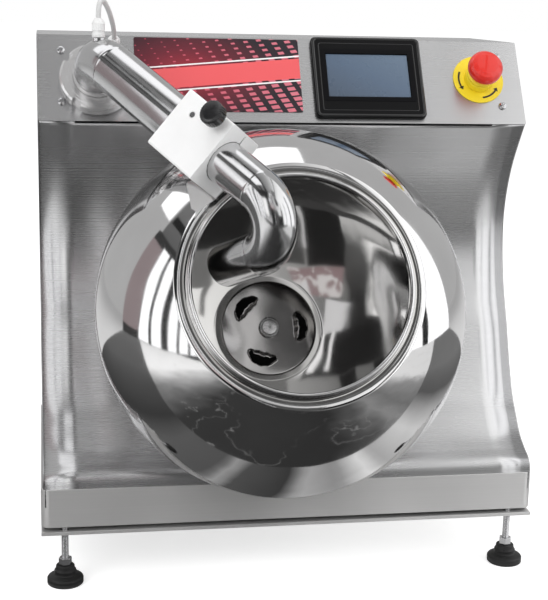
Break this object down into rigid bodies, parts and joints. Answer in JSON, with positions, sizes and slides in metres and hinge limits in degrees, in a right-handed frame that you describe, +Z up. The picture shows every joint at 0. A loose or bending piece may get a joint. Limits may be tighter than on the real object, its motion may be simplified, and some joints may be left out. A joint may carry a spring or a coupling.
{
  "type": "chocolate panning machine",
  "caption": "Tabletop panning machine: a tilted polished drum turns in front of a hollow-fronted steel cabinet while a bent duct blows air into its mouth.",
  "frame": {"origin": "middle of the machine's bounding box, on the ground under its feet", "axes": "+Z up, -Y towards the operator and the drum's mouth, +X to the operator's right"},
  "size_m": [0.561, 0.5126, 0.636],
  "materials": {
    "base_plate": "brushed stainless",
    "plinth_band": "brushed stainless",
    "front_skin": "brushed stainless",
    "left_side": "brushed stainless",
    "right_side": "brushed stainless",
    "rear_panel": "brushed stainless",
    "top_cover": "brushed stainless",
    "control_panel": "brushed stainless",
    "drive_bracket": "plain steel",
    "panel_screw_1": "bright",
    "panel_screw_2": "bright",
    "panel_screw_3": "bright",
    "panel_screw_4": "bright",
    "label_plate": "printed film",
    "display_bezel": "satin black",
    "display_screen": "dark blue-grey screen",
    "display_case": "black",
    "stop_label": "yellow",
    "stop_collar": "yellow",
    "stop_block": "black",
    "stop_button": "glossy red",
    "duct_flange": "bright stainless",
    "union_nut": "bright stainless",
    "duct_elbow": "polished stainless",
    "clamp_block": "white",
    "set_screw": "plain",
    "clamp_knob": "black",
    "nozzle_tube": "polished stainless",
    "probe_gland": "white",
    "panel_gland": "white",
    "sensor_cable": "light grey sheath",
    "blower_housing": "cast",
    "blower_motor": "dark grey",
    "blower_impeller": "black",
    "drum_back": "mirror polished stainless",
    "drum_rear_ring": "mirror polished stainless",
    "drum_front_ring": "mirror polished stainless",
    "drum_collar": "mirror polished stainless",
    "drum_back_plate": "polished stainless",
    "hub_cap": "polished stainless",
    "drum_hub": "turned steel",
    "shaft_seal": "black",
    "bearing_housing": "cast",
    "gearbox": "dark grey",
    "drive_motor": "dark grey",
    "control_box": "dark grey",
    "mains_gland": "black",
    "foot_front_left_pad": "black",
    "foot_front_left_stud": "bright",
    "foot_front_right_pad": "black",
    "foot_front_right_stud": "bright",
    "foot_rear_left_pad": "black",
    "foot_rear_left_stud": "bright",
    "foot_rear_right_pad": "black",
    "foot_rear_right_stud": "bright"
  },
  "bodies": {
    "cabinet": {"base_plate": "base_plate", "plinth_band": "plinth_band", "front_skin": "front_skin", "left_side": "left_side", "right_side": "right_side", "rear_panel": "rear_panel", "top_cover": "top_cover", "control_panel": "control_panel", "drive_bracket": "drive_bracket", "panel_screw_1": "panel_screw_1", "panel_screw_2": "panel_screw_2", "panel_screw_3": "panel_screw_3", "panel_screw_4": "panel_screw_4", "label_plate": "label_plate", "display_bezel": "display_bezel", "display_screen": "display_screen", "display_case": "display_case", "stop_label": "stop_label", "stop_collar": "stop_collar", "stop_block": "stop_block", "duct_flange": "duct_flange", "union_nut": "union_nut", "duct_elbow": "duct_elbow", "clamp_block": "clamp_block", "set_screw": "set_screw", "probe_gland": "probe_gland", "panel_gland": "panel_gland", "sensor_cable": "sensor_cable", "blower_housing": "blower_housing", "blower_motor": "blower_motor", "shaft_seal": "shaft_seal", "bearing_housing": "bearing_housing", "gearbox": "gearbox", "drive_motor": "drive_motor", "control_box": "control_box", "mains_gland": "mains_gland"},
    "drum": {"drum_back": "drum_back", "drum_rear_ring": "drum_rear_ring", "drum_front_ring": "drum_front_ring", "drum_collar": "drum_collar", "drum_back_plate": "drum_back_plate", "hub_cap": "hub_cap", "drum_hub": "drum_hub"},
    "nozzle": {"nozzle_tube": "nozzle_tube"},
    "knob": {"clamp_knob": "clamp_knob"},
    "stop_head": {"stop_button": "stop_button"},
    "impeller": {"blower_impeller": "blower_impeller"},
    "foot_front_left": {"foot_front_left_pad": "foot_front_left_pad", "foot_front_left_stud": "foot_front_left_stud"},
    "foot_front_right": {"foot_front_right_pad": "foot_front_right_pad", "foot_front_right_stud": "foot_front_right_stud"},
    "foot_rear_left": {"foot_rear_left_pad": "foot_rear_left_pad", "foot_rear_left_stud": "foot_rear_left_stud"},
    "foot_rear_right": {"foot_rear_right_pad": "foot_rear_right_pad", "foot_rear_right_stud": "foot_rear_right_stud"}
  },
  "joints": [
    {"name": "drum_spin", "type": "hinge", "parent": "cabinet", "child": "drum", "pos_m": [-0.0205, -0.00619, 0.2701], "axis": [0, -0.9003, 0.4352], "continuous": true},
    {"name": "nozzle_turn", "type": "hinge", "parent": "cabinet", "child": "nozzle", "pos_m": [-0.2129, -0.02376, 0.57492], "axis": [0.5349, -0.7281, -0.4288], "range_deg": [-6, 45]},
    {"name": "knob_turn", "type": "hinge", "parent": "cabinet", "child": "knob", "pos_m": [-0.1073, -0.19246, 0.52665], "axis": [-0.5608, -0.6855, 0.4644], "range_deg": [0, 270]},
    {"name": "stop_press", "type": "slide", "parent": "cabinet", "child": "stop_head", "axis": [0, 0.849, -0.5284], "range_m": [0, 0.005], "stiffness_N_per_m": 2000, "springref_m": -0.002},
    {"name": "impeller_spin", "type": "hinge", "parent": "cabinet", "child": "impeller", "pos_m": [-0.2319, 0.13853, 0.51395], "axis": [1, 0, 0], "continuous": true},
    {"name": "foot_front_left_turn", "type": "hinge", "parent": "cabinet", "child": "foot_front_left", "pos_m": [-0.2549, -0.07409, 0], "axis": [0, 0, 1], "range_deg": [-180, 180]},
    {"name": "foot_front_right_turn", "type": "hinge", "parent": "cabinet", "child": "foot_front_right", "pos_m": [0.2549, -0.07409, 0], "axis": [0, 0, 1], "range_deg": [-180, 180]},
    {"name": "foot_rear_left_turn", "type": "hinge", "parent": "cabinet", "child": "foot_rear_left", "pos_m": [-0.2549, 0.21211, 0], "axis": [0, 0, 1], "range_deg": [-180, 180]},
    {"name": "foot_rear_right_turn", "type": "hinge", "parent": "cabinet", "child": "foot_rear_right", "pos_m": [0.2549, 0.21211, 0], "axis": [0, 0, 1], "range_deg": [-180, 180]}
  ]
}
